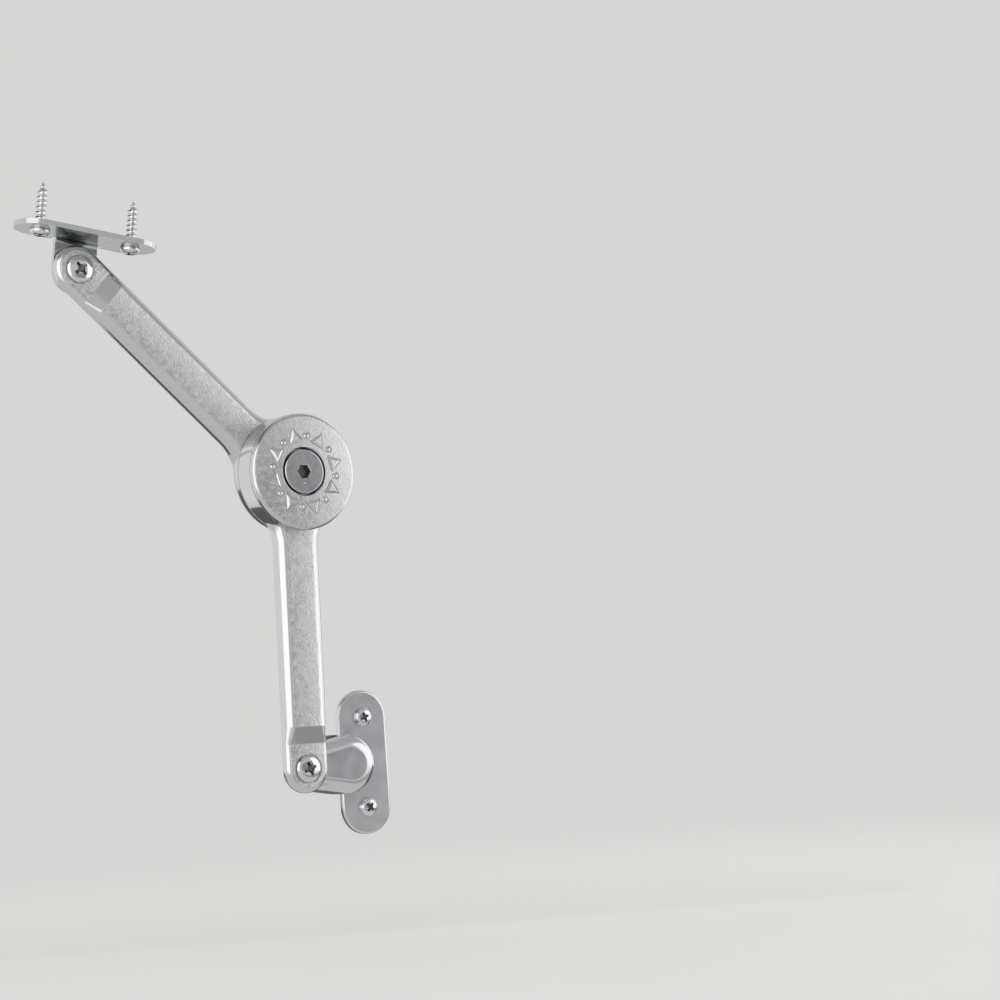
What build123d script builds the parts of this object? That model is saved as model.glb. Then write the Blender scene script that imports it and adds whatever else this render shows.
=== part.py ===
from build123d import *
import os
from math import atan2, cos, pi, radians, sin, sqrt

# Soft close lid support: two arms that meet in a brake drum, a bracket for the
# cabinet wall and a bracket for the lid.
#
# Everything is drawn flat against the wall first: x runs into the cabinet, y runs
# up and z is the height above the wall. The last step stands the object up, so
# that Z is up and the wall is the plane Y = 0, behind the object.

# Driving dimensions, in millimetres and degrees

# Arms
arm_length = 96.0          # from the drum's axis to the pivot's axis
arm_width = 15.8
arm_thickness = 4.7
arm_shoulder = 3.6         # rounding of the front edges
arm_rear_edge = 0.7        # rounding of the rear edges
flare_radius = 14.0        # hollow curve where an arm widens into the drum
flare_depth = 0.8          # how far inside the drum's rim that curve ends
ramp_start = 13.6          # from the pivot's axis to the thick end of the ramp
ramp_end = 8.1             # from the pivot's axis to the thin end of the ramp
eye_radius = 7.9
eye_thickness = 3.2
eye_shoulder = 2.0
lower_arm_angle = 269.0    # direction from the drum to the lower pivot
upper_arm_angle = 136.7    # direction from the drum to the upper pivot

# Drum
drum_radius = 19.0
drum_standoff = 9.2        # from the wall to the back of the drum
drum_rear_edge = 2.8       # rounding of the drum's rear rim
halves_gap = 0.4           # joint line between the two halves
rear_wall = 4.0
rear_floor = 1.5
front_wall = 2.7
front_web = 1.4
cover_thickness = 0.6
cover_inset = 1.0          # from the line of the rear wall in to the cover's edge
cover_edge = 0.3
seal_width = 1.2
seal_depth = 0.9

# Cap and adjuster
cap_thickness = 1.9
cap_edge = 1.2
cap_hole_edge = 0.25
cap_line = 0.45            # open line between the cap and the drum
cap_skirt_wall = 1.4
cap_skirt_gap = 0.5        # from the pressure plate to the end of the cap's skirt
adjuster_radius = 7.25
adjuster_edge = 0.6
adjuster_ring_gap = 0.65
adjuster_head = 2.65
adjuster_rise = 0.3        # how far the adjuster's face stands out of the cap's face
adjuster_thread_radius = 3.0
socket_across_flats = 4.0
socket_depth = 2.0
socket_bevel = 0.3
dimple_radius = 0.75
dimple_offset = 3.9

# Ring of rays and dots on the cap
ray_count = 8
ray_turn = 14.5
ray_margin = 2.05          # from the edge of the cap's hole to the base of a ray
ray_length = 4.3
ray_half_width = 2.45
ray_slope = 60.0
dot_margin = 3.85          # from the edge of the cap's hole to the middle of a dot
dot_radius = 0.95
blister_height = 0.4       # of the rays and the dots
groove_width = 0.35        # of the groove around each ray and dot
groove_depth = 0.25

# Spindle, clutch and brake pack
spindle_radius = 5.0
spindle_square = 8.0
spindle_head_rim = 2.0     # how far the head stands out from the post
spindle_head_thickness = 0.66
spindle_flat_depth = 0.8   # how deep each flat of the front end is cut
spindle_front_length = 2.8
roller_count = 8
roller_radius = 1.0
roller_end_gap = 0.3
clutch_wall = 0.88         # the clutch ring at its thinnest, in the middle of a flat
lining_thickness = 0.8
plate_thickness = 0.6
plate_gap = 0.2            # from the rim of a brake plate to that of a lining
pressure_plate_thickness = 0.85
brake_gap = 0.2            # around the linings in the front half, on the radius
brake_bore_gap = 0.3       # around the clutch ring's corners, on the radius
tab_count = 4
tab_width = 4.0
tab_reach = 1.0            # how far a lining's tab stands out of its rim
tab_gap = 0.1
spring_radius = 7.4
spring_thickness = 0.55
spring_cone = 0.3
thrust_washer_gap = 0.3     # from the washer's rim to the cap's hole
thrust_washer_thickness = 0.8

# Pivots
pivot_head_radius = 4.5
pivot_head_height = 1.9
pivot_cross = (2.3, 0.95)  # reach and width of the cross in the head
pivot_shoulder_radius = 2.5
pivot_thread_radius = 2.0
pivot_seat_depth = 0.5
pivot_seat_margin = 0.55
thread_bevel = 0.4
bush_wall = 1.0
pivot_washer_radius = 5.7
pivot_washer_thickness = 0.8
nut_wall = 0.9             # of the collar around the thread
nut_rim = 1.1              # how far the nut's body stands out from its collar
nut_thickness = 2.9
nut_screw_end = 0.5        # how far the screw's end stands out behind the nut

# Wall bracket
foot_length = 48.0
foot_width = 18.5
foot_thickness = 2.0
foot_edge = 0.8
wall_screw_margin = 9.0    # from the end of the foot to the screw
pivot_offset = 30.7        # from the middle of the foot to the lower pivot
boss_radius = 9.8          # at its round end
boss_narrow_radius = 6.3   # of the round that its sides run down to, about the pivot
boss_clearance = 0.3       # from the boss to the arm that passes in front of it
boss_shoulder = 4.8
boss_middle = 11.5         # from the middle of the foot to the boss's round end
boss_end_gap = 0.2         # from the pivot's washer to the boss's flat end
lug_radius = 5.8
lug_thickness = 3.4
lug_draft = 30.0           # how far the lug's sides slope in towards its rear
lug_screw_end = 0.3        # from the rear of the lug to the screw's end

# Lid bracket
lid_tilt = 8.5             # how far the lid stands past level
flange_length = 47.0
flange_width = 16.0
sheet_thickness = 1.6
sheet_bend = 1.2
flange_drop = 9.2          # from the flange's underside to the upper pivot
ear_radius = 7.2
ear_relief = 1.2
lid_screw_margin = 8.0     # from the end of the flange to the screw

# Wood screws
screw_head_radius = 3.2
screw_head_height = 2.0
screw_cross = (1.7, 0.75)  # reach and width of the cross in the head
screw_radius = 1.75
screw_neck_radius = 1.4    # where the screw passes through its bracket
screw_length = 16.0
screw_point = 4.0
screw_tip_radius = 0.15
screw_hole_radius = 2.1

# Shares that all the screws' heads have
head_rounding = 0.62       # of the head's height
cross_depth = 0.75         # of the head's height
cross_slot_depth = 0.75    # of the cross's depth
cross_mouth = 0.8          # of the cross's reach
cross_floor = 0.35         # of the cross's reach

# How far each cross is turned
wall_screw_turns = (22, 50)
lid_screw_turns = (10, 35)
lower_pivot_turn = 20
upper_pivot_turn = 35

# Clearances
face_gap = 0.05            # between flat faces that bear on each other
shaft_gap = 0.04           # around a shaft in its bore, on the radius
thread_gap = 0.04
sink = 1.0                 # how far joined shapes and cuts reach past a face
bite = 0.2                 # the same where there is less room

# Radii that follow
rear_cavity_radius = drum_radius - rear_wall
front_cavity_radius = drum_radius - front_wall
cover_radius = rear_cavity_radius - cover_inset
seal_middle = drum_radius - rear_wall / 2
brake_radius = front_cavity_radius - brake_gap
cap_hole_radius = adjuster_radius + adjuster_ring_gap
thrust_washer_radius = cap_hole_radius - thrust_washer_gap
roller_circle = spindle_radius + roller_radius + shaft_gap
roller_outer = roller_circle + roller_radius + 2 * shaft_gap
clutch_across_flats = 2 * (roller_outer + clutch_wall)
clutch_corner = clutch_across_flats / 2 / cos(pi / 6)
bush_radius = pivot_shoulder_radius + bush_wall
nut_collar_radius = pivot_thread_radius + nut_wall
wall_screw_spacing = foot_length - 2 * wall_screw_margin
lid_screw_spacing = flange_length - 2 * lid_screw_margin
boss_end = pivot_offset - pivot_washer_radius - boss_end_gap

# Heights above the wall
rear_rim = drum_standoff + arm_thickness
web_rear = rear_rim + halves_gap
web_front = web_rear + front_web
cover_front = drum_standoff + cover_thickness
head_rear = cover_front + face_gap / 2
floor_rear = head_rear + spindle_head_thickness + face_gap / 2
floor_front = floor_rear + rear_floor
lower_eye_front = web_rear + eye_thickness
upper_eye_front = drum_standoff + eye_thickness
boss_front = web_rear - boss_clearance
lug_front = web_rear - pivot_washer_thickness - 2 * face_gap
lug_rear = lug_front - lug_thickness
ear_front = drum_standoff - pivot_washer_thickness - 2 * face_gap
ear_rear = ear_front - sheet_thickness

# The brake pack, from the web of the front half outwards, and the cap over it
lining_1 = web_front + face_gap
friction_plate_rear = lining_1 + lining_thickness + face_gap
lining_2 = friction_plate_rear + plate_thickness + face_gap
pressure_plate_rear = lining_2 + lining_thickness + 2 * face_gap
pressure_plate_front = pressure_plate_rear + pressure_plate_thickness
clutch_front = pressure_plate_rear - 2 * face_gap
springs_rear = pressure_plate_front + face_gap
spring_height = spring_thickness + spring_cone
thrust_washer_rear = springs_rear + 2 * spring_height + face_gap
thrust_washer_front = thrust_washer_rear + thrust_washer_thickness
adjuster_rear = thrust_washer_front + face_gap
adjuster_face = adjuster_rear + adjuster_head
spindle_shoulder = pressure_plate_rear - face_gap / 2
spindle_front = spindle_shoulder + spindle_front_length
drum_face = adjuster_face - adjuster_rise
cap_back = drum_face - cap_thickness
front_rim = cap_back - cap_line
skirt_end = pressure_plate_front + cap_skirt_gap

# Places of the three axes, in the wall's plane
lower_pivot_x = -pivot_offset
drum_x = lower_pivot_x - arm_length * cos(radians(lower_arm_angle))
drum_y = -arm_length * sin(radians(lower_arm_angle))
upper_pivot_x = drum_x + arm_length * cos(radians(upper_arm_angle))
upper_pivot_y = drum_y + arm_length * sin(radians(upper_arm_angle))

at_foot = Location((0, 0, 0))
at_lower_pivot = Location((lower_pivot_x, 0, 0))
at_drum = Location((drum_x, drum_y, 0))
at_lower_arm = Location((drum_x, drum_y, 0), (0, 0, lower_arm_angle))
at_upper_arm = Location((drum_x, drum_y, 0), (0, 0, upper_arm_angle))
at_upper_pivot = Location((upper_pivot_x, upper_pivot_y, 0))
at_lid = Location((upper_pivot_x, upper_pivot_y, 0), (0, 0, -lid_tilt))
standing = Plane(origin=(0, 0, 0), x_dir=(1, 0, 0), z_dir=(0, -1, 0))


def disc(radius, low, high):
    """A round plate between two heights, on the z axis."""
    return Pos(0, 0, low) * extrude(Circle(radius), high - low)


def ring(outer, inner, low, high):
    """A round plate with a round hole."""
    return Pos(0, 0, low) * extrude(Circle(outer) - Circle(inner), high - low)


def around(shape, count, start=0.0):
    """Copies of a shape, evenly spaced about the z axis."""
    return [Rot(0, 0, start + 360 * k / count) * shape for k in range(count)]


def cross_recess(reach, width, depth):
    """The cross cut of a screw's head, with its mouth at height zero."""
    slot = extrude(Rectangle(2 * reach, width), -depth * cross_slot_depth)
    middle = Pos(0, 0, -depth / 2) * Cone(cross_floor * reach, cross_mouth * reach, depth)
    return slot + Rot(0, 0, 90) * slot + middle


def pan_head(radius, height, cross):
    """A pan head that stands on height zero, with the cross turned along x and y."""
    head = disc(radius, 0, height)
    head = fillet(head.edges().sort_by(Axis.Z)[-1], height * head_rounding)
    return head - Pos(0, 0, height) * cross_recess(*cross, height * cross_depth)


def wood_screw(plate):
    """A pan head wood screw through a plate, with the underside of its head at height zero."""
    head = pan_head(screw_head_radius, screw_head_height, screw_cross)
    thread_start = -plate - face_gap / 2
    neck = disc(screw_neck_radius, thread_start - bite, bite)
    thread = disc(screw_radius, screw_point - screw_length, thread_start)
    point_middle = screw_point / 2 - screw_length
    point = Pos(0, 0, point_middle) * Cone(screw_tip_radius, screw_radius, screw_point)
    return head + neck + thread + point


def pivot_screw(seat, shoulder_end, thread_end):
    """A shouldered screw: head on the eye, shoulder in the bush, thread below."""
    head = Pos(0, 0, seat) * pan_head(pivot_head_radius, pivot_head_height, pivot_cross)
    shoulder = disc(pivot_shoulder_radius, shoulder_end, seat + bite)
    thread = disc(pivot_thread_radius, thread_end, shoulder_end + bite)
    thread = chamfer(thread.edges().sort_by(Axis.Z)[0], thread_bevel)
    return head + shoulder + thread


def across(x):
    """The plane that stands across the x axis at x, with its own x along y."""
    return Plane(origin=(x, 0, 0), x_dir=(0, 1, 0), z_dir=(1, 0, 0))


def half_plane(x):
    """The half on one side of the middle of a section that stands at x."""
    side = 4 * drum_radius
    return across(x) * (Pos(side / 2, 0) * Rectangle(side, side))


def arm_section(width, thickness, shoulder):
    """The arm cut across: y is its width, z its thickness from the rear face."""
    block = Pos(0, thickness / 2) * Rectangle(width, thickness)
    block = fillet(block.vertices().group_by(Axis.Y)[-1], shoulder)
    return fillet(block.vertices().group_by(Axis.Y)[0], arm_rear_edge)


def section_at(x, width, thickness, shoulder):
    """The same section, standing across the arm at a distance from the drum."""
    return across(x) * arm_section(width, thickness, shoulder)


def arm_bar():
    """The straight bar of an arm, with hollow flares that run into the drum."""
    half = arm_width / 2
    rim = drum_radius - flare_depth
    middle_y = half + flare_radius
    middle_x = sqrt((rim + flare_radius) ** 2 - middle_y ** 2)
    share = rim / (rim + flare_radius)
    touch = Vector(share * middle_x, share * middle_y)
    inside = touch / 2
    halfway = (2.5 * pi + atan2(middle_y, middle_x)) / 2
    on_curve = (middle_x + flare_radius * cos(halfway), middle_y + flare_radius * sin(halfway))
    bar_end = arm_length - ramp_start

    side = Line((bar_end, half), (middle_x, half))
    side += ThreePointArc((middle_x, half), on_curve, touch)
    side += Line(touch, inside)
    ends = Line((bar_end, half), (bar_end, -half)) + Line(inside, (inside.X, -inside.Y))
    bar = extrude(make_face(side + mirror(side, Plane.XZ) + ends), arm_thickness)

    for level, radius in ((arm_thickness, arm_shoulder), (0, arm_rear_edge)):
        flat = bar.edges().filter_by(lambda e: abs(e.center().Z - level) < 0.01)
        outer = flat.filter_by(lambda e: abs(e.center().Y) > half - 0.01)
        bar = fillet(outer.filter_by(lambda e: e.center().X > touch.X), radius)
    return bar


def arm_blank():
    """An arm without its half of the drum: rear face at height zero, drum at x = 0."""
    full_width = 2 * eye_radius
    thick = section_at(arm_length - ramp_start, arm_width, arm_thickness, arm_shoulder)
    thin = section_at(arm_length - ramp_end, full_width, eye_thickness, eye_shoulder)
    ramp = loft([thick.face(), thin.face()], ruled=True)
    neck = extrude(thin, ramp_end)
    eye_half = section_at(arm_length, full_width, eye_thickness, eye_shoulder)
    eye = revolve(eye_half & half_plane(arm_length), Axis((arm_length, 0, 0), (0, 0, 1)))
    return arm_bar() + ramp + neck + eye


def eye_bore(front):
    """The bush's hole and the seat of the screw's head, through an eye at the pivot."""
    hole = disc(bush_radius + shaft_gap / 2, -sink, front + sink)
    seat = disc(pivot_head_radius + pivot_seat_margin, front - pivot_seat_depth, front + sink)
    return Pos(arm_length, 0, 0) * (hole + seat)


def upper_arm():
    """The upper arm with the rear half of the drum, which holds the spindle's square."""
    cup = disc(drum_radius, drum_standoff, rear_rim)
    cup = fillet(cup.edges().sort_by(Axis.Z)[0], drum_rear_edge)
    body = cup + Pos(0, 0, drum_standoff) * arm_blank()
    body -= disc(cover_radius + shaft_gap, drum_standoff - sink, floor_rear)
    body -= disc(rear_cavity_radius, floor_front, rear_rim + sink)
    square = Rectangle(spindle_square + 2 * shaft_gap, spindle_square + 2 * shaft_gap)
    body -= Pos(0, 0, floor_rear - sink) * extrude(square, rear_floor + 2 * sink)
    groove = seal_width / 2 + shaft_gap
    body -= ring(seal_middle + groove, seal_middle - groove, rear_rim - seal_depth, rear_rim + sink)
    return body - eye_bore(upper_eye_front)


def lining_tabs(clearance, low, high):
    """The tabs that key a lining to the wall of the front half."""
    reach = brake_radius + tab_reach + clearance
    tab = Pos(reach / 2, 0) * Rectangle(reach, tab_width + 2 * clearance)
    tab = Pos(0, 0, low) * extrude(tab, high - low)
    return around(tab - disc(brake_radius - sink, low - sink, high + sink), tab_count, 45)


def lower_arm():
    """The lower arm with the front half of the drum, which holds the brake pack."""
    cup = disc(drum_radius, web_rear, front_rim)
    body = cup + Pos(0, 0, web_rear) * arm_blank()
    body -= disc(front_cavity_radius, web_front, front_rim + sink)
    body -= disc(clutch_corner + brake_bore_gap, web_rear - sink, web_front + sink)
    for slot in lining_tabs(tab_gap, web_front, front_rim + sink):
        body -= slot
    return body - eye_bore(lower_eye_front)


def rear_cover():
    cover = disc(cover_radius, drum_standoff, cover_front)
    return fillet(cover.edges().sort_by(Axis.Z)[0], cover_edge)


def flatted_circle(grow=0.0):
    """The section of the spindle's front end, with a flat on two sides."""
    flat = spindle_radius - spindle_flat_depth + grow
    return Circle(spindle_radius + grow) & Rectangle(2 * flat, 4 * spindle_radius)


def spindle():
    """The hollow post: head, square, round bearing for the rollers and flatted end."""
    head_radius = spindle_radius + spindle_head_rim
    head = disc(head_radius, head_rear, floor_rear - face_gap / 2)
    square = Rectangle(spindle_square, spindle_square)
    square = Pos(0, 0, head_rear) * extrude(square, floor_front - head_rear)
    post = disc(spindle_radius, floor_front, spindle_shoulder)
    end = Pos(0, 0, spindle_shoulder) * extrude(flatted_circle(), spindle_front_length)
    bore = disc(adjuster_thread_radius + thread_gap, floor_rear + sink, spindle_front + sink)
    return head + square + post + end - bore


def flatted_hole(low, high):
    """The hole of a part that slides on the spindle's flatted end and turns with it."""
    return Pos(0, 0, low - sink) * extrude(flatted_circle(shaft_gap), high - low + 2 * sink)


def hexagon(across_flats):
    return RegularPolygon(across_flats / 2, 6, major_radius=False)


def clutch_ring():
    outline = hexagon(clutch_across_flats) - Circle(roller_outer)
    return Pos(0, 0, web_rear) * extrude(outline, clutch_front - web_rear)


def clutch_rollers():
    low = web_rear + roller_end_gap
    roller = Pos(roller_circle, 0, 0) * disc(roller_radius, low, clutch_front - roller_end_gap)
    return around(roller, roller_count)


def bearing_disc():
    inner = max(spindle_radius, spindle_square / sqrt(2)) + 2 * shaft_gap
    outer = rear_cavity_radius - 2 * shaft_gap
    return ring(outer, inner, floor_front + face_gap, web_rear - face_gap)


def seal_ring():
    half = seal_width / 2
    low = rear_rim - seal_depth + face_gap
    return ring(seal_middle + half, seal_middle - half, low, web_rear - face_gap)


def friction_linings():
    """Two linings, each keyed to the lower arm by its tabs."""
    linings = []
    for low in (lining_1, lining_2):
        high = low + lining_thickness
        lining = ring(brake_radius, clutch_corner + brake_bore_gap, low, high)
        for tab in lining_tabs(0.0, low, high):
            lining += tab
        linings.append(lining)
    return linings


def friction_plate():
    outline = Circle(brake_radius - plate_gap) - hexagon(clutch_across_flats + 2 * shaft_gap)
    return Pos(0, 0, friction_plate_rear) * extrude(outline, plate_thickness)


def pressure_plate():
    plate = disc(brake_radius - plate_gap, pressure_plate_rear, pressure_plate_front)
    return plate - flatted_hole(pressure_plate_rear, pressure_plate_front)


def disc_spring(inner_low, outer_low):
    """A conical spring washer, from the heights of its two lower edges."""
    inner = spindle_radius + shaft_gap
    profile = Polyline(
        (inner, inner_low), (spring_radius, outer_low), (spring_radius, outer_low + spring_thickness),
        (inner, inner_low + spring_thickness), (inner, inner_low))
    return revolve(Plane.XZ * make_face(profile), Axis.Z)


def disc_springs():
    """Two conical springs that stand back to back, with their wide ends outwards."""
    middle = springs_rear + spring_height
    return [disc_spring(springs_rear + spring_cone, springs_rear),
            disc_spring(middle, middle + spring_cone)]


def thrust_washer():
    washer = disc(thrust_washer_radius, thrust_washer_rear, thrust_washer_front)
    return washer - flatted_hole(thrust_washer_rear, thrust_washer_front)


def adjuster_screw():
    """The brake's adjuster: a round disc head with a hexagon socket and a dimple."""
    head = disc(adjuster_radius, adjuster_rear, adjuster_face)
    head = fillet(head.edges().sort_by(Axis.Z)[-1], adjuster_edge)
    thread = disc(adjuster_thread_radius, floor_front + sink, adjuster_rear + bite)
    thread = chamfer(thread.edges().sort_by(Axis.Z)[0], thread_bevel)
    head -= Pos(0, 0, adjuster_face - socket_depth) * extrude(hexagon(socket_across_flats), adjuster_head)
    corners = head.edges().filter_by(GeomType.LINE).group_by(Axis.Z)[-1]
    head = chamfer(corners, socket_bevel)
    dimple = Pos(0, -dimple_offset, adjuster_face) * Sphere(dimple_radius)
    return head + thread - dimple


def ray():
    """One ray of the ring and its groove: a low three-sided blister that points outwards."""
    base = cap_hole_radius + ray_margin
    corners = (base, -ray_half_width), (base + ray_length, 0), (base, ray_half_width)
    outline = Polygon(*corners, align=None)
    blister = extrude(outline, blister_height, taper=ray_slope)
    groove = offset(outline, groove_width) - outline
    return [Pos(0, 0, drum_face) * shape for shape in (blister, extrude(groove, -groove_depth))]


def dot():
    """One dot of the ring and its groove: a low round blister."""
    ball_radius = (dot_radius ** 2 + blister_height ** 2) / (2 * blister_height)
    ball = Pos(0, 0, blister_height - ball_radius) * Sphere(ball_radius)
    blister = ball & disc(dot_radius, -bite, blister_height + sink)
    groove = ring(dot_radius + groove_width, dot_radius, -groove_depth, bite)
    return [Pos(cap_hole_radius + dot_margin, 0, drum_face) * shape for shape in (blister, groove)]


def front_cap():
    """The cap: a flange with a rounded edge, a skirt in the drum and the ring of rays."""
    flange = disc(drum_radius, cap_back, drum_face)
    flange = fillet(flange.edges().sort_by(Axis.Z)[-1], cap_edge)
    skirt_radius = front_cavity_radius - shaft_gap
    skirt_inner = skirt_radius - cap_skirt_wall
    seat = ring(skirt_radius + sink, skirt_inner, front_rim + face_gap, cap_back + bite)
    skirt = ring(skirt_radius, skirt_inner, skirt_end, cap_back + bite)
    cap = flange + seat + skirt - disc(cap_hole_radius, cap_back - sink, drum_face + sink)
    face_edges = cap.edges().filter_by(GeomType.CIRCLE).group_by(Axis.Z)[-1]
    cap = fillet(face_edges.sort_by(SortBy.RADIUS)[0], cap_hole_edge)
    for (blister, groove), turn in ((ray(), ray_turn), (dot(), ray_turn + 180 / ray_count)):
        for shape in around(groove, ray_count, turn):
            cap -= shape
        for shape in around(blister, ray_count, turn):
            cap += shape
    return cap


def pivot_bush(rear, front):
    inner = pivot_shoulder_radius + shaft_gap
    return ring(bush_radius, inner, rear, front - pivot_seat_depth - face_gap)


def pivot_washer(low):
    inner = pivot_shoulder_radius + shaft_gap
    return ring(pivot_washer_radius, inner, low, low + pivot_washer_thickness)


def wall_bracket():
    """The cast wall bracket: foot, boss and the lug that carries the lower eye."""
    foot = extrude(SlotOverall(foot_length, foot_width, rotation=90), foot_thickness)
    foot = fillet(foot.edges().group_by(Axis.Z)[-1], foot_edge)

    wide = Pos(-boss_middle, 0) * Circle(boss_radius)
    narrow = Pos(-pivot_offset, 0) * Circle(boss_narrow_radius)
    outline = make_hull(wide.edges() + narrow.edges())
    outline -= Pos(-boss_end - pivot_offset, 0) * Rectangle(2 * pivot_offset, 4 * boss_radius)
    boss = extrude(outline, boss_front)
    front_edges = boss.edges().group_by(Axis.Z)[-1]
    boss = fillet(front_edges.filter_by(lambda e: e.center().X > bite - boss_end), boss_shoulder)

    reach = pivot_offset - boss_end + sink + lug_thickness
    outline = Pos(reach / 2, 0) * Rectangle(reach, 2 * lug_radius) + Circle(lug_radius)
    lug = Pos(-pivot_offset, 0, lug_front) * extrude(outline, -lug_thickness, taper=lug_draft)
    body = foot + boss + lug

    hole = disc(screw_hole_radius, -sink, foot_thickness + sink)
    for side in (-1, 1):
        body -= Pos(0, side * wall_screw_spacing / 2, 0) * hole
    thread = disc(pivot_thread_radius + thread_gap, lug_rear - sink, lug_front + sink)
    return body - Pos(-pivot_offset, 0, 0) * thread


def wall_bracket_screws():
    reach = wall_screw_spacing / 2
    height = foot_thickness + face_gap / 2
    return [Pos(0, y, height) * Rot(0, 0, turn) * wood_screw(foot_thickness)
            for y, turn in zip((reach, -reach), wall_screw_turns)]


def lid_bracket():
    """The bent sheet bracket. Here x runs along its flange and y is up from the pivot."""
    top = flange_drop + sheet_thickness
    bend_reach = sheet_thickness + sheet_bend
    outline = SlotOverall(flange_length, flange_width)
    notch = Rectangle(2 * (ear_radius + ear_relief), bend_reach)
    outline -= Pos(0, (flange_width - bend_reach) / 2) * notch
    flat = Plane(origin=(0, flange_drop, ear_rear + flange_width / 2), x_dir=(1, 0, 0), z_dir=(0, 1, 0))
    flange = flat * extrude(outline, sheet_thickness)

    drop = top - bend_reach
    bend_middle = Pos(drop, ear_rear + bend_reach)
    quarter = Pos(drop + bend_reach / 2, ear_rear + bend_reach / 2) * Rectangle(bend_reach, bend_reach)
    curve = bend_middle * (Circle(bend_reach) - Circle(sheet_bend)) & quarter
    bent = across(-ear_radius) * extrude(curve, 2 * ear_radius)

    ear = Circle(ear_radius) + Pos(0, drop / 2) * Rectangle(2 * ear_radius, drop)
    ear = Pos(0, 0, ear_rear) * extrude(ear, sheet_thickness)
    body = flange + bent + ear
    body -= disc(nut_collar_radius + shaft_gap, ear_rear - sink, ear_front + sink)
    for place in lid_screw_places():
        body -= place * disc(screw_hole_radius, -screw_length, sink)
    return body


def lid_screw_places():
    """Where the lid's screws go: heads below the flange, points towards the lid."""
    reach = lid_screw_spacing / 2
    height = ear_rear + flange_width / 2
    seat = flange_drop - face_gap / 2
    return [Plane(origin=(x, seat, height), x_dir=(1, 0, 0), z_dir=(0, -1, 0)).location
            for x in (-reach, reach)]


def lid_bracket_screws():
    return [place * (Rot(0, 0, turn) * wood_screw(sheet_thickness))
            for place, turn in zip(lid_screw_places(), lid_screw_turns)]


def upper_pivot_nut():
    """The clinch nut: a round body behind the ear, with a collar pressed into it."""
    body = disc(nut_collar_radius + nut_rim, ear_rear - nut_thickness, ear_rear - face_gap / 2)
    body = chamfer(body.edges().sort_by(Axis.Z)[0], thread_bevel)
    collar = disc(nut_collar_radius, ear_rear - sink, ear_front - face_gap)
    thread = disc(pivot_thread_radius + thread_gap, 0, ear_front + sink)
    return body + collar - thread


def lower_pivot_screw():
    seat = lower_eye_front - pivot_seat_depth + face_gap / 2
    screw = pivot_screw(seat, lug_front + face_gap / 2, lug_rear + lug_screw_end)
    return Rot(0, 0, lower_pivot_turn) * screw


def upper_pivot_screw():
    seat = upper_eye_front - pivot_seat_depth + face_gap / 2
    screw = pivot_screw(seat, ear_front + face_gap / 2, ear_rear - nut_thickness - nut_screw_end)
    return Rot(0, 0, upper_pivot_turn) * screw


at_eye = Pos(arm_length, 0, 0)

nodes = {
    "wall_bracket": (at_foot, [wall_bracket()]),
    "wall_bracket_screws": (at_foot, wall_bracket_screws()),
    "lower_pivot_washer": (at_lower_pivot, [pivot_washer(lug_front + face_gap)]),
    "lower_pivot_screw": (at_lower_pivot, [lower_pivot_screw()]),
    "lower_arm": (at_lower_arm, [lower_arm()]),
    "lower_pivot_bush": (at_lower_arm, [at_eye * pivot_bush(web_rear, lower_eye_front)]),
    "front_cap": (at_drum, [front_cap()]),
    "friction_linings": (at_lower_arm, friction_linings()),
    "upper_arm": (at_upper_arm, [upper_arm()]),
    "upper_pivot_bush": (at_upper_arm, [at_eye * pivot_bush(drum_standoff, upper_eye_front)]),
    "rear_cover": (at_drum, [rear_cover()]),
    "spindle": (at_upper_arm, [spindle()]),
    "clutch_ring": (at_upper_arm, [clutch_ring()]),
    "clutch_rollers": (at_upper_arm, clutch_rollers()),
    "bearing_disc": (at_drum, [bearing_disc()]),
    "seal_ring": (at_drum, [seal_ring()]),
    "friction_plate": (at_upper_arm, [friction_plate()]),
    "pressure_plate": (at_upper_arm, [pressure_plate()]),
    "disc_springs": (at_drum, disc_springs()),
    "thrust_washer": (at_upper_arm, [thrust_washer()]),
    "adjuster_screw": (at_drum, [adjuster_screw()]),
    "upper_pivot_washer": (at_upper_pivot, [pivot_washer(ear_front + face_gap)]),
    "upper_pivot_screw": (at_upper_pivot, [upper_pivot_screw()]),
    "upper_pivot_nut": (at_upper_pivot, [upper_pivot_nut()]),
    "lid_bracket": (at_lid, [lid_bracket()]),
    "lid_bracket_screws": (at_lid, lid_bracket_screws()),
}

os.makedirs("parts", exist_ok=True)
for name, (place, shapes) in nodes.items():
    solids = [standing.location * (place * solid) for shape in shapes for solid in shape.solids()]
    whole = solids[0] if len(solids) == 1 else Compound(children=solids)
    export_step(whole, f"parts/{name}.step")
    print(name, len(solids), round(sum(solid.volume for solid in solids), 1))

print("lower pivot", lower_pivot_x, 0.0)
print("drum", round(drum_x, 4), round(drum_y, 4), "face", round(drum_face, 3))
print("upper pivot", round(upper_pivot_x, 4), round(upper_pivot_y, 4))
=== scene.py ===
import math

import bmesh
import bpy
from mathutils import Matrix, Vector


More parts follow.
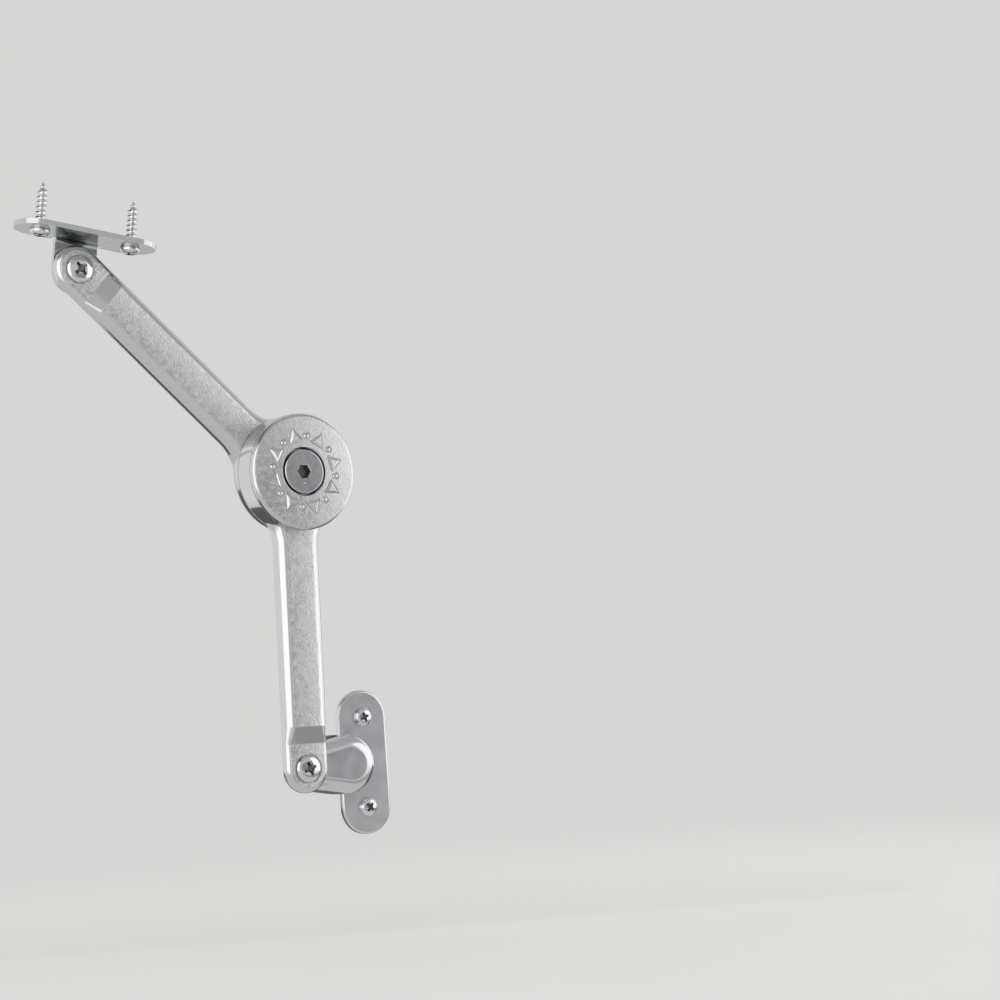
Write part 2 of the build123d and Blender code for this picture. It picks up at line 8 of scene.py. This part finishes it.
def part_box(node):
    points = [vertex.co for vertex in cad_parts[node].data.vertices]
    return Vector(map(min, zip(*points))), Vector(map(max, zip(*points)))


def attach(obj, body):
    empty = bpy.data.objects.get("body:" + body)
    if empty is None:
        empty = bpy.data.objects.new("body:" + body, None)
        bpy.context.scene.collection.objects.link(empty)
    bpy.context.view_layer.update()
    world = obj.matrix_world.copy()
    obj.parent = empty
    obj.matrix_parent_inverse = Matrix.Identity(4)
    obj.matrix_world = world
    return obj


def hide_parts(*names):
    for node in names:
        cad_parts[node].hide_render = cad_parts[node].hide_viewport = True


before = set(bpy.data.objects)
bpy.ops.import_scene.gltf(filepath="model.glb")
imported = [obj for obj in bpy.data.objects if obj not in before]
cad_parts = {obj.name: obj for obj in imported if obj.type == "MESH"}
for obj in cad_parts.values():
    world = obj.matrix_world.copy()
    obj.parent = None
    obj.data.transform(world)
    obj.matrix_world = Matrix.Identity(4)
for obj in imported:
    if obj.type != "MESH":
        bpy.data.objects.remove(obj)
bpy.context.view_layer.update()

# Wall bracket: a zinc die casting with a slot-shaped foot, a boss and a lug behind the
# lower eye. It is tumbled smooth and nickel plated, and two wood screws hold it on.

MM = 0.001  # one millimetre in metres


def linear(colour):
    """An sRGB hex colour as the linear values that a socket takes."""
    shares = [int(colour[i:i + 2], 16) / 255 for i in (1, 3, 5)]
    return [s / 12.92 if s <= 0.04045 else ((s + 0.055) / 1.055) ** 2.4 for s in shares] + [1]


def add(tree, kind, links=None, **settings):
    """Adds a node with its settings, and gives each named socket a value or a link."""
    node = tree.nodes.new("ShaderNode" + kind)
    for name, value in settings.items():
        setattr(node, name, value)
    for socket, value in (links or {}).items():
        if isinstance(value, bpy.types.NodeSocket):
            tree.links.new(value, node.inputs[socket])
        else:
            node.inputs[socket].default_value = value
    return node


def start_material(name, colour, roughness, metallic=1.0):
    """A new material with its shader's plain values, its tree and its shader."""
    material = bpy.data.materials.new(name)
    material.use_nodes = True
    shader = material.node_tree.nodes["Principled BSDF"]
    shader.inputs["Base Color"].default_value = linear(colour)
    shader.inputs["Metallic"].default_value = metallic
    shader.inputs["Roughness"].default_value = roughness
    return material, material.node_tree, shader


def patches(tree, size, low, high, detail=2.0):
    """A value that drifts between low and high in patches about size across."""
    place = add(tree, "TexCoord").outputs["Object"]
    noise = add(tree, "TexNoise", {"Vector": place, "Scale": 1 / size, "Detail": detail})
    noise_low, noise_high = 0.3, 0.7  # what the noise seldom leaves
    return add(tree, "MapRange", {"Value": noise.outputs["Fac"],
                                  "From Min": noise_low, "From Max": noise_high,
                                  "To Min": low, "To Max": high}).outputs["Result"]


def relief(tree, shader, height, depth):
    """Turns a height into a relief, where a height of 1 stands out by the depth in metres."""
    bump = add(tree, "Bump", {"Height": height, "Distance": depth})
    tree.links.new(bump.outputs["Normal"], shader.inputs["Normal"])


def finish(material, *nodes):
    """Puts a material on all of each named CAD node."""
    for name in nodes:
        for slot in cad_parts[name].material_slots:
            slot.material = material


# Nickel on a tumbled casting: satin, with a faint unevenness left by the stones.
tumbled_nickel, tree, shader = start_material("nickel_plated_tumbled_casting", "#D0D0D4", 0.2)
tree.links.new(patches(tree, 5 * MM, 0.17, 0.24), shader.inputs["Roughness"])
relief(tree, shader, patches(tree, 0.7 * MM, 0, 1), 0.004 * MM)
finish(tumbled_nickel, "wall_bracket")

# Wood screws: pan heads with a cross recess, cold-headed from steel wire, with a rolled
# thread, and chrome plated. Two hold the wall bracket and two the lid bracket.


def smooth(mesh, angle):
    """Shades a mesh smooth, but not over edges sharper than an angle in degrees."""
    mesh.shade_smooth()
    mesh.set_sharp_from_angle(angle=math.radians(angle))


def lathe(shape, profile, segments):
    """Adds a turned shape from (radius, height) points. Ones on the axis close its ends."""
    rings = []
    for radius, height in profile:
        ring = []
        for k in range(segments if radius else 1):
            angle = 2 * math.pi * k / segments
            place = (radius * math.cos(angle), radius * math.sin(angle), height)
            ring.append(shape.verts.new(place))
        rings.append(ring)
    for below, above in zip(rings, rings[1:]):
        for k in range(segments):
            corners = (below[k % len(below)], below[(k + 1) % len(below)],
                       above[(k + 1) % len(above)], above[k % len(above)])
            shape.faces.new(list(dict.fromkeys(corners)))


def cross_cutter(reach, width, depth):
    """The tool that forms a cross recess: two wings that taper down, and a pointed core."""
    shape = bmesh.new()
    above = depth
    # Shares of the reach, the height, and shares of the width: above the head, at its top
    # and near the bottom of the recess.
    levels = ((1.35, above, 1.0), (1.0, 0, 1.0), (0.42, -depth * 0.8, 0.72))
    for turn in (0, math.pi / 2):
        wing = bmesh.new()
        for reach_share, height, width_share in levels:
            for x in (-reach * reach_share, reach * reach_share):
                for y in (-width * width_share / 2, width * width_share / 2):
                    wing.verts.new((x, y, height))
        bmesh.ops.convex_hull(wing, input=wing.verts)
        bmesh.ops.rotate(wing, verts=wing.verts, matrix=Matrix.Rotation(turn, 3, "Z"))
        part = bpy.data.meshes.new("wing")
        wing.to_mesh(part)
        shape.from_mesh(part)
    core = [(0, -depth), (reach * 0.45, -depth * 0.55), (reach * 0.62, above), (0, above)]
    lathe(shape, core, 24)
    return shape


def to_object(shape, name):
    """Makes a mesh under construction into an object of the scene."""
    bmesh.ops.recalc_face_normals(shape, faces=shape.faces)
    mesh = bpy.data.meshes.new(name)
    shape.to_mesh(mesh)
    shape.free()
    piece = bpy.data.objects.new(name, mesh)
    bpy.context.scene.collection.objects.link(piece)
    return piece


def cut(piece, tool):
    """Cuts a tool out of a piece, with the second material in the cut, and removes the tool."""
    for thing in (piece, tool):
        for _ in range(2):
            thing.data.materials.append(None)
    tool.data.polygons.foreach_set("material_index", [1] * len(tool.data.polygons))
    cutter = piece.modifiers.new("cut", "BOOLEAN")
    cutter.object, cutter.operation, cutter.solver = tool, "DIFFERENCE", "EXACT"
    cutter.use_self = True
    bpy.context.view_layer.update()
    after_cut = piece.evaluated_get(bpy.context.evaluated_depsgraph_get())
    mesh = bpy.data.meshes.new_from_object(after_cut)
    piece.modifiers.clear()
    piece.data = mesh
    bpy.data.objects.remove(tool)


def pan_head(radius, height, shank, cross):
    """A pan head with its underside at height zero, on a shank of (radius, height) points."""
    shape = bmesh.new()
    rim = 0.16 * height
    profile = shank + [(radius * 0.97, 0), (radius, rim * 0.3), (radius, rim)]
    # The dome is fuller than a quarter of an ellipse, as a pan head is.
    dome_steps, fuller_out, fuller_up = 12, 0.75, 0.9
    for k in range(1, dome_steps + 1):
        turn = math.pi / 2 * k / dome_steps
        profile.append((radius * math.cos(turn) ** fuller_out if k < dome_steps else 0,
                        rim + (height - rim) * math.sin(turn) ** fuller_up))
    lathe(shape, profile, 64)
    head = to_object(shape, "head")
    reach, width, depth = cross
    tool = to_object(cross_cutter(reach, width, depth), "cross")
    tool.location.z = height
    cut(head, tool)
    return head


def thread(crest, root, pitch, start, point_start, end, steps=40):
    """A closed wood-screw thread round the z axis that winds down to its point."""
    shape = bmesh.new()
    # Along one turn, the share of the pitch and the share of the thread's height there.
    outline = [(0.0, 0.0), (0.2, 0.0), (0.4, 0.05), (0.55, 0.4),
               (0.66, 0.97), (0.7, 1.0), (0.74, 0.97), (0.86, 0.35)]
    # The core and the thread thin out towards the point, but never to nothing.
    least_core, least_thread, thinning = 0.06, 0.03, 0.7
    turns = int((start - end) / pitch)
    rows = []
    for i in range((turns + 1) * steps + 1):
        row = []
        for share, lift in outline:
            height = start - pitch * (i / steps - 1 + share)
            height = max(min(height, start), end)
            taper = min(1.0, (height - end) / (point_start - end))
            rise = min(1.0, max(0.0, (start - height) / pitch))
            core = root * max(taper, least_core)
            flight = (crest - root) * lift * rise * max(taper, least_thread) ** thinning
            row.append((core + flight, height))
        angle = -2 * math.pi * i / steps
        rows.append([shape.verts.new((radius * math.cos(angle), radius * math.sin(angle), height))
                     for radius, height in row])
    last = len(rows) - 1
    for i in range(last):
        for k in range(len(outline) - 1):
            shape.faces.new((rows[i][k], rows[i][k + 1], rows[i + 1][k + 1], rows[i + 1][k]))
        below = rows[i + steps:i + steps + 2]
        if below:
            shape.faces.new((rows[i][-1], *(row[0] for row in below), rows[i + 1][-1]))
    bmesh.ops.holes_fill(shape, edges=[e for e in shape.edges if e.is_boundary])
    bmesh.ops.remove_doubles(shape, verts=shape.verts, dist=1e-4)
    return to_object(shape, "thread")


def joined(name, parts):
    """Joins (object, placing matrix) pairs into one piece, and removes the parts."""
    shape = bmesh.new()
    for part, matrix in parts:
        part.data.transform(matrix)
        shape.from_mesh(part.data)
        bpy.data.objects.remove(part)
    return to_object(shape, name)


screw_head_radius, screw_head_height = 3.2, 2.0
screw_neck_radius, screw_neck_length = 1.4, 1.0
screw_length, screw_point = 16.0, 4.0
thread_radius, thread_root, thread_pitch, thread_gap = 1.75, 1.2, 1.6, 0.1
screw_cross = (1.8, 0.8, 1.5)  # reach, width and depth


def wood_screw(plate, matrix):
    """The parts of one screw through a plate, in millimetres, with their places."""
    neck_end = -plate - screw_neck_length
    neck = [(0, neck_end), (screw_neck_radius, neck_end), (screw_neck_radius, 0)]
    head = pan_head(screw_head_radius, screw_head_height, neck, screw_cross)
    winding = thread(thread_radius, thread_root, thread_pitch, -plate - thread_gap,
                     screw_point - screw_length, -screw_length)
    return [(head, matrix), (winding, matrix)]


def standing_on(place, outward, turn):
    """Places a screw by the middle of its seat and the direction of its head."""
    facing = Vector(outward).to_track_quat("Z", "Y").to_matrix().to_4x4()
    turned = Matrix.Rotation(math.radians(turn), 4, "Z")
    return Matrix.Translation(place) @ facing @ turned @ Matrix.Scale(MM, 4)


# Bright chrome on a rolled and headed screw: a mirror with a little die drag, drawn coarser
# than it is. The cross is rougher, and its darker colour is painted shade in the recess.
chromed_steel, tree, shader = start_material("chrome_plated_headed_steel", "#D2D3D6", 0.08)
tree.links.new(patches(tree, 1.2 * MM, 0.06, 0.12), shader.inputs["Roughness"])
relief(tree, shader, patches(tree, 0.5 * MM, 0, 1), 0.002 * MM)
# The cross recess: rougher, and coloured darker as painted shade.
recess_with_painted_shade, tree, shader = start_material("steel_recess_with_painted_shade", "#77787B", 0.4)
tree.links.new(patches(tree, 0.5 * MM, 0.3, 0.5), shader.inputs["Roughness"])
relief(tree, shader, patches(tree, 0.3 * MM, 0, 1), 0.006 * MM)

low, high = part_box("wall_bracket_screws")
seat_y = low.y + screw_head_height * MM
foot_thickness = 2.0
parts = []
for z, turn in ((high.z - screw_head_radius * MM, 22), (low.z + screw_head_radius * MM, 50)):
    parts += wood_screw(foot_thickness, standing_on((0, seat_y, z), (0, -1, 0), turn))
wall_screws = joined("threaded_wall_screws", parts)
smooth(wall_screws.data, 35)
for coat in (chromed_steel, recess_with_painted_shade):
    wall_screws.data.materials.append(coat)
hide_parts("wall_bracket_screws")
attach(wall_screws, "wall_bracket")

# Pivot screws: shouldered steel screws with a wide pan head, turned from bar and chrome
# plated. Each clamps a moulded bush in its eye, with a washer behind the eye.

pivot_head_radius, pivot_head_height = 4.5, 1.9
pivot_shoulder_radius, pivot_shoulder_length = 2.5, 3.6
pivot_thread_radius, pivot_chamfer = 2.0, 0.4
pivot_cross = (2.5, 1.05, 1.6)  # reach, width and depth
for pivot, bracket, turn in (("lower_pivot", "wall_bracket", 20),
                             ("upper_pivot", "lid_bracket", 35)):
    low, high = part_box(pivot + "_screw")
    middle = (low + high) / 2
    end = pivot_head_height - (high.y - low.y) / MM
    shank = [(0, end), (pivot_thread_radius - pivot_chamfer, end),
             (pivot_thread_radius, end + pivot_chamfer),
             (pivot_thread_radius, -pivot_shoulder_length),
             (pivot_shoulder_radius, -pivot_shoulder_length), (pivot_shoulder_radius, 0)]
    head = pan_head(pivot_head_radius, pivot_head_height, shank, pivot_cross)
    seat = (middle.x, low.y + pivot_head_height * MM, middle.z)
    pivot_screw = joined("domed_" + pivot + "_screw", [(head, standing_on(seat, (0, -1, 0), turn))])
    smooth(pivot_screw.data, 35)
    for coat in (chromed_steel, recess_with_painted_shade):
        pivot_screw.data.materials.append(coat)
    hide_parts(pivot + "_screw")
    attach(pivot_screw, bracket)

# Natural nylon, moulded: a waxy white with a soft shine. It makes the bushes and washers.
moulded_nylon, tree, shader = start_material("moulded_natural_nylon", "#E6E3DA", 0.35, 0.0)
tree.links.new(patches(tree, 2 * MM, 0.3, 0.42), shader.inputs["Roughness"])
relief(tree, shader, patches(tree, 0.4 * MM, 0, 1), 0.003 * MM)
finish(moulded_nylon, "lower_pivot_bush", "lower_pivot_washer", "upper_pivot_bush",
       "upper_pivot_washer")

# Arms: zinc die castings, each in one piece with its half of the drum. The flat faces are
# a little crowned and carry a sandy grain from the die. The edges are polished, and all
# of it is chrome plated.


def flat_faces(tree):
    """A mask that is 1 on the faces that look straight to the front, and 0 on the edges."""
    normal = add(tree, "TexCoord").outputs["Normal"]
    facing = add(tree, "VectorMath", {0: normal, 1: (0, -1, 0)},
                 operation="DOT_PRODUCT").outputs["Value"]
    edge, flat = 0.975, 0.995  # cosines of the angle off the front
    return add(tree, "MapRange", {"Value": facing, "From Min": edge, "From Max": flat},
               interpolation_type="SMOOTHSTEP").outputs["Result"]


def crowned_grain(tree, shader, reach, slope, edge, grain, depth):
    """A crown with its full slope at the edge, and on the flats sand that is worn in places."""
    crown = add(tree, "Math", {0: reach, 1: reach}, operation="MULTIPLY").outputs["Value"]
    crown = add(tree, "Math", {0: crown, 1: -slope / (2 * edge)},
                operation="MULTIPLY").outputs["Value"]
    worn = patches(tree, 4 * grain, 0.35, 1.0)
    sand = add(tree, "Math", {0: patches(tree, grain, 0, depth), 1: worn},
               operation="MULTIPLY").outputs["Value"]
    sand = add(tree, "Math", {0: sand, 1: flat_faces(tree)}, operation="MULTIPLY").outputs["Value"]
    height = add(tree, "Math", {0: crown, 1: sand}, operation="ADD").outputs["Value"]
    relief(tree, shader, height, 1.0)


def from_point(tree, point, keep):
    """The place on the object as seen from a point, with each axis kept or dropped."""
    place = add(tree, "TexCoord").outputs["Object"]
    offset = add(tree, "VectorMath", {0: place, 1: point}, operation="SUBTRACT").outputs["Vector"]
    return add(tree, "VectorMath", {0: offset, 1: keep}, operation="MULTIPLY").outputs["Vector"]


# Chrome on a die casting: sandy and half bright on the flats, a mirror on the polished
# edges. Such sand is about 0.2 mm, and is drawn coarser so that it shows.
low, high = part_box("front_cap")
drum_axis = (low + high) / 2
for arm, pivot_screw, crown in (("lower_arm", "lower_pivot_screw", 0.1),
                                ("upper_arm", "upper_pivot_screw", 0.17)):
    chromed_zinc, tree, shader = start_material("chrome_plated_zinc_" + arm, "#CBCCCE", 0.2)
    low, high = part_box(pivot_screw)
    along = ((low + high) / 2 - drum_axis) * Vector((1, 0, 1))
    across = Vector((along.z, 0, -along.x)).normalized()
    offset = from_point(tree, drum_axis, (1, 1, 1))
    reach = add(tree, "VectorMath", {0: offset, 1: across},
                operation="DOT_PRODUCT").outputs["Value"]
    crowned_grain(tree, shader, reach, crown, 6 * MM, 0.45 * MM, 0.12 * MM)
    sandy = patches(tree, 3 * MM, 0.22, 0.3)
    rough = add(tree, "Mix", {0: flat_faces(tree), 2: 0.1, 3: sandy}).outputs[0]
    tree.links.new(rough, shader.inputs["Roughness"])
    finish(chromed_zinc, arm)

# Cap: pressed over the front half of the drum, with the ring of rays struck in its face,
# which is given a fine satin before the chrome.

# Chrome on a blasted face: a soft silver sheen that drifts as the face curves, with bright
# edges. The blasting's grain is drawn coarser than it is, so that it shows.
satin_chrome, tree, shader = start_material("satin_chrome_plated_cap", "#C9CACC", 0.24)
offset = from_point(tree, drum_axis, (1, 0, 1))
reach = add(tree, "VectorMath", {0: offset}, operation="LENGTH").outputs["Value"]
crowned_grain(tree, shader, reach, 0.12, 17 * MM, 0.42 * MM, 0.075 * MM)
blasted = patches(tree, 3 * MM, 0.2, 0.28)
rough = add(tree, "Mix", {0: flat_faces(tree), 2: 0.1, 3: blasted}).outputs[0]
tree.links.new(rough, shader.inputs["Roughness"])
finish(satin_chrome, "front_cap")

# Adjuster: a steel screw with a flat round head, faced on a lathe and chrome plated, whose
# socket takes a hexagon key. It presses on the springs of the brake.

# Satin chrome on turned steel: grey and half bright, with faint rings from the facing tool.
# The socket is coloured darker, which is painted shade in the recess.
turned_steel, tree, shader = start_material("faced_satin_chromed_steel", "#BEBFC2", 0.2)
low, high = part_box("adjuster_screw")
socket_reach, socket_mouth = 2.5 * MM, 0.35 * MM
offset = from_point(tree, drum_axis, (1, 0, 1))
radius = add(tree, "VectorMath", {0: offset}, operation="LENGTH").outputs["Value"]
depth = add(tree, "SeparateXYZ", {0: from_point(tree, low, (1, 1, 1))}).outputs["Y"]
near = add(tree, "Math", {0: radius, 1: socket_reach}, operation="LESS_THAN").outputs["Value"]
deep = add(tree, "Math", {0: depth, 1: socket_mouth}, operation="GREATER_THAN").outputs["Value"]
socket_painted_shade_mask = add(tree, "Math", {0: near, 1: deep}, operation="MULTIPLY").outputs["Value"]
# Painted shade: the inside of the hexagon socket is given a darker colour.
shade = add(tree, "Mix", {0: socket_painted_shade_mask, 6: linear("#BEBFC2"), 7: linear("#6C6D70")},
            data_type="RGBA").outputs[2]
tree.links.new(shade, shader.inputs["Base Color"])
tool_mark = 0.35 * MM
rings = add(tree, "Math", {0: radius, 1: 2 * math.pi / tool_mark},
            operation="MULTIPLY").outputs["Value"]
rings = add(tree, "Math", {0: rings}, operation="SINE").outputs["Value"]
relief(tree, shader, rings, 0.001 * MM)
tree.links.new(patches(tree, 1.5 * MM, 0.17, 0.25), shader.inputs["Roughness"])
finish(turned_steel, "adjuster_screw")

# Rear cover, clinch nut and the brake's plain discs: pressed or turned steel. The cover
# closes the back of the drum, and the nut is clinched into the lid bracket's ear.

# Passivated zinc on steel: a cool bluish grey, dull, in cloudy patches.
zinc_plated, tree, shader = start_material("zinc_plated_pressed_steel", "#B9BEC4", 0.32)
tree.links.new(patches(tree, 2.5 * MM, 0.26, 0.42, 4.0), shader.inputs["Roughness"])
relief(tree, shader, patches(tree, 0.35 * MM, 0, 1), 0.004 * MM)
finish(zinc_plated, "rear_cover", "upper_pivot_nut", "thrust_washer", "friction_plate",
       "pressure_plate")

# Spindle and clutch: the hollow post in the middle of the drum, and the ring and rollers
# round it that lock one way. They are turned, hardened and ground.

# Bare ground steel: darker than the plated parts, with a fine sheen.
ground_steel, tree, shader = start_material("hardened_ground_steel", "#8C8D90", 0.22)
tree.links.new(patches(tree, 0.8 * MM, 0.16, 0.3), shader.inputs["Roughness"])
relief(tree, shader, patches(tree, 0.2 * MM, 0, 1), 0.002 * MM)
finish(ground_steel, "spindle", "clutch_ring", "clutch_rollers")

# Disc springs: two cones stamped from spring steel, which press the brake together.

# Blued spring steel: a dark blue grey with a dull shine.
blued_steel, tree, shader = start_material("blued_spring_steel", "#4C5563", 0.3)
tree.links.new(patches(tree, 1.5 * MM, 0.24, 0.38), shader.inputs["Roughness"])
relief(tree, shader, patches(tree, 0.3 * MM, 0, 1), 0.003 * MM)
finish(blued_steel, "disc_springs")

# Friction linings: two rings cut from bonded fibre sheet, ground flat, one on each side of
# the brake's steel plate.

# Resin-bonded fibre: a dry brown with brass specks, without any shine.
bonded_fibre, tree, shader = start_material("resin_bonded_fibre_lining", "#5A4A3C", 0.8, 0.0)
place = add(tree, "TexCoord").outputs["Object"]
speck_spacing = 0.5 * MM
specks = add(tree, "TexVoronoi", {"Vector": place, "Scale": 1 / speck_spacing}).outputs["Distance"]
specks = add(tree, "MapRange", {"Value": specks, "From Min": 0.1,
                                "From Max": 0.25}).outputs["Result"]
tint = add(tree, "Mix", {0: specks, 6: linear("#A98A55"), 7: linear("#5A4A3C")},
           data_type="RGBA").outputs[2]
tree.links.new(tint, shader.inputs["Base Color"])
relief(tree, shader, patches(tree, 0.3 * MM, 0, 1), 0.02 * MM)
finish(bonded_fibre, "friction_linings")

# Bearing disc and seal ring: a moulded disc that the drum's halves turn on, and a rubber
# ring that keeps the grease in.

# Moulded grey acetal: even, with a soft shine. Moulded nitrile rubber: black and dull.
grey_acetal, tree, shader = start_material("moulded_grey_acetal", "#8F9092", 0.45, 0.0)
tree.links.new(patches(tree, 2 * MM, 0.4, 0.5), shader.inputs["Roughness"])
finish(grey_acetal, "bearing_disc")
nitrile_rubber, tree, shader = start_material("moulded_nitrile_rubber", "#1C1C1D", 0.6, 0.0)
tree.links.new(patches(tree, 1 * MM, 0.5, 0.7), shader.inputs["Roughness"])
finish(nitrile_rubber, "seal_ring")

# Lid bracket: steel sheet, blanked and bent. The ear carries the upper pivot, and its
# flange is screwed under the lid.

# Nickel on rolled sheet: nearly a mirror, a little wavy.
nickel_sheet, tree, shader = start_material("nickel_plated_steel_sheet", "#BFC2C1", 0.16)
tree.links.new(patches(tree, 4 * MM, 0.13, 0.2), shader.inputs["Roughness"])
relief(tree, shader, patches(tree, 1.0 * MM, 0, 1), 0.004 * MM)
finish(nickel_sheet, "lid_bracket")

lid_tilt = math.radians(8.5)
along = Vector((math.cos(lid_tilt), 0, -math.sin(lid_tilt)))
up = Vector((math.sin(lid_tilt), 0, math.cos(lid_tilt)))
low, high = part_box("upper_pivot_screw")
pivot = (low + high) / 2
low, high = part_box("lid_bracket_screws")
pivot.y = (low.y + high.y) / 2
flange_thickness, flange_underside, screw_offset = 1.6, 9.175, 15.5
parts = []
for reach, turn in ((-screw_offset, 10), (screw_offset, 35)):
    seat = pivot + along * reach * MM + up * flange_underside * MM
    parts += wood_screw(flange_thickness, standing_on(seat, -up, turn))
lid_screws = joined("threaded_lid_screws", parts)
smooth(lid_screws.data, 35)
for coat in (chromed_steel, recess_with_painted_shade):
    lid_screws.data.materials.append(coat)
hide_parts("lid_bracket_screws")
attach(lid_screws, "lid_bracket")

# Floor: a pale round board below the object, which fades into the background at its rim.

# Matt paint on board: pale and even, without a shine, so that only the shadow shows.
floor_height, floor_radius, floor_middle = -0.06, 0.6, -0.03
shape = bmesh.new()
bmesh.ops.create_circle(shape, cap_ends=True, segments=96, radius=floor_radius)
floor = to_object(shape, "floor")
floor.location = (floor_middle, 0, floor_height)
pale_board, tree, shader = start_material("pale_painted_board", "#F2F2F1", 0.9, 0.0)
place = add(tree, "TexCoord").outputs["Object"]
place = add(tree, "Mapping", {"Vector": place, "Scale": [1 / floor_radius] * 3}).outputs["Vector"]
fade = add(tree, "TexGradient", {"Vector": place}, gradient_type="SPHERICAL").outputs["Fac"]
fade_share = 0.6  # the share of the radius over which the board fades, from the rim
fade = add(tree, "MapRange", {"Value": fade, "From Min": 0.0, "From Max": fade_share},
           interpolation_type="SMOOTHSTEP").outputs["Result"]
clear = add(tree, "BsdfTransparent").outputs[0]
mixed = add(tree, "MixShader", {0: fade, 1: clear, 2: shader.outputs[0]}).outputs[0]
tree.links.new(mixed, tree.nodes["Material Output"].inputs["Surface"])
floor.data.materials.append(pale_board)

# World: even pale studio air, the same colour for the eye, the metal and the light.

world = bpy.data.worlds.new("studio")
bpy.context.scene.world = world
world.use_nodes = True
air = world.node_tree.nodes["Background"]
air.inputs["Color"].default_value = linear("#D6D6D5")

# Softboxes: a wide one on each side of the camera, which the arms' edges mirror as white
# bands, and a weaker one behind on each side.

studio_middle = Vector((-0.03, 0, 0.09))


def outward(azimuth, elevation):
    """The direction from the object, with the azimuth from the front to the right."""
    a, e = math.radians(azimuth), math.radians(elevation)
    return Vector((math.sin(a) * math.cos(e), -math.cos(a) * math.cos(e), math.sin(e)))


def hang(thing, azimuth, elevation, distance):
    """Hangs a lamp or a card at a distance, so that it faces the object."""
    away = outward(azimuth, elevation)
    thing.location = studio_middle + away * distance
    thing.rotation_mode = "QUATERNION"
    thing.rotation_quaternion = away.to_track_quat("Z", "Y")


def softbox(name, azimuth, elevation, distance, width, height, radiance):
    """A soft rectangular lamp."""
    data = bpy.data.lights.new(name, "AREA")
    data.shape, data.size, data.size_y = "RECTANGLE", width, height
    data.energy = radiance * math.pi * width * height
    lamp = bpy.data.objects.new(name, data)
    bpy.context.scene.collection.objects.link(lamp)
    hang(lamp, azimuth, elevation, distance)


# Azimuth, elevation, distance, width, height and radiance.
softbox("left_softbox", -58, 0, 1.2, 1.3, 1.9, 0.95)
softbox("rear_left_softbox", -125, 3, 1.2, 1.8, 1.2, 0.3)
softbox("right_softbox", 62, 8, 1.2, 1.05, 1.1, 0.85)
softbox("rear_right_softbox", 110, 2, 1.2, 1.3, 0.85, 0.6)

# Felt cards: grey above and in front, darker below and behind, all out of the picture.
# They give the polished edges their dark lines. Only mirror images show them.


def card(name, shade, azimuth, elevation, distance, width, height):
    """A sheet of felt that casts no shadow and takes no light from the object."""
    # Wool felt: matt and even.
    felt, tree, shader = start_material("felt_of_" + name, shade, 0.95, 0.0)
    tree.links.new(patches(tree, 5 * MM, 0.9, 1.0), shader.inputs["Roughness"])
    shape = bmesh.new()
    bmesh.ops.create_grid(shape, x_segments=1, y_segments=1, size=0.5)
    bmesh.ops.scale(shape, verts=shape.verts, vec=(width, height, 1))
    sheet = to_object(shape, name)
    sheet.data.materials.append(felt)
    sheet.visible_camera = sheet.visible_diffuse = sheet.visible_shadow = False
    hang(sheet, azimuth, elevation, distance)


# Shade, azimuth, elevation, distance, width and height.
card("card_above_right", "#CACACA", 40, 60, 0.8, 1.9, 0.75)
card("card_above_left", "#8C8C8C", -75, 68, 0.9, 1.4, 0.7)
card("card_below", "#6A6A6A", 150, -68, 0.157, 0.45, 0.22)
card("card_front", "#AAAAAA", 16, -3, 0.6, 0.44, 0.24)
card("card_low_front", "#BEBEBE", 34.0, -47, 0.2, 0.2, 0.05)
card("card_behind", "#202020", 146, 4, 0.8, 0.42, 0.3)

# Camera: below the drum and to its left, a long lens, leaning a little, as in the photograph.

picture, lens_mm, sensor_mm = 1000, 90.0, 36.0
focal = lens_mm / sensor_mm * picture
aim_pixel = (304.47, 471.3)  # where the middle of the cap's face is in the picture
distance, cap_face = 0.8104, -0.024
azimuth, elevation, roll = -34.68, -3.97, math.radians(-3.92)
low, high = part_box("front_cap")
aim = Vector(((low.x + high.x) / 2, cap_face, (low.z + high.z) / 2))
back = outward(azimuth, elevation)
level = Vector((math.cos(math.radians(azimuth)), math.sin(math.radians(azimuth)), 0))
upward = back.cross(level)
right = level * math.cos(roll) + upward * math.sin(roll)
top = upward * math.cos(roll) - level * math.sin(roll)
aside = (aim_pixel[0] - picture / 2) * distance / focal
above = (picture / 2 - aim_pixel[1]) * distance / focal
camera_data = bpy.data.cameras.new("camera")
camera_data.lens, camera_data.sensor_width = lens_mm, sensor_mm
camera = bpy.data.objects.new("camera", camera_data)
camera.matrix_world = (Matrix.Translation(aim + back * distance - right * aside - top * above)
                       @ Matrix((right, top, back)).transposed().to_4x4())
bpy.context.scene.collection.objects.link(camera)
bpy.context.scene.camera = camera
bpy.context.scene.view_settings.view_transform = "Standard"
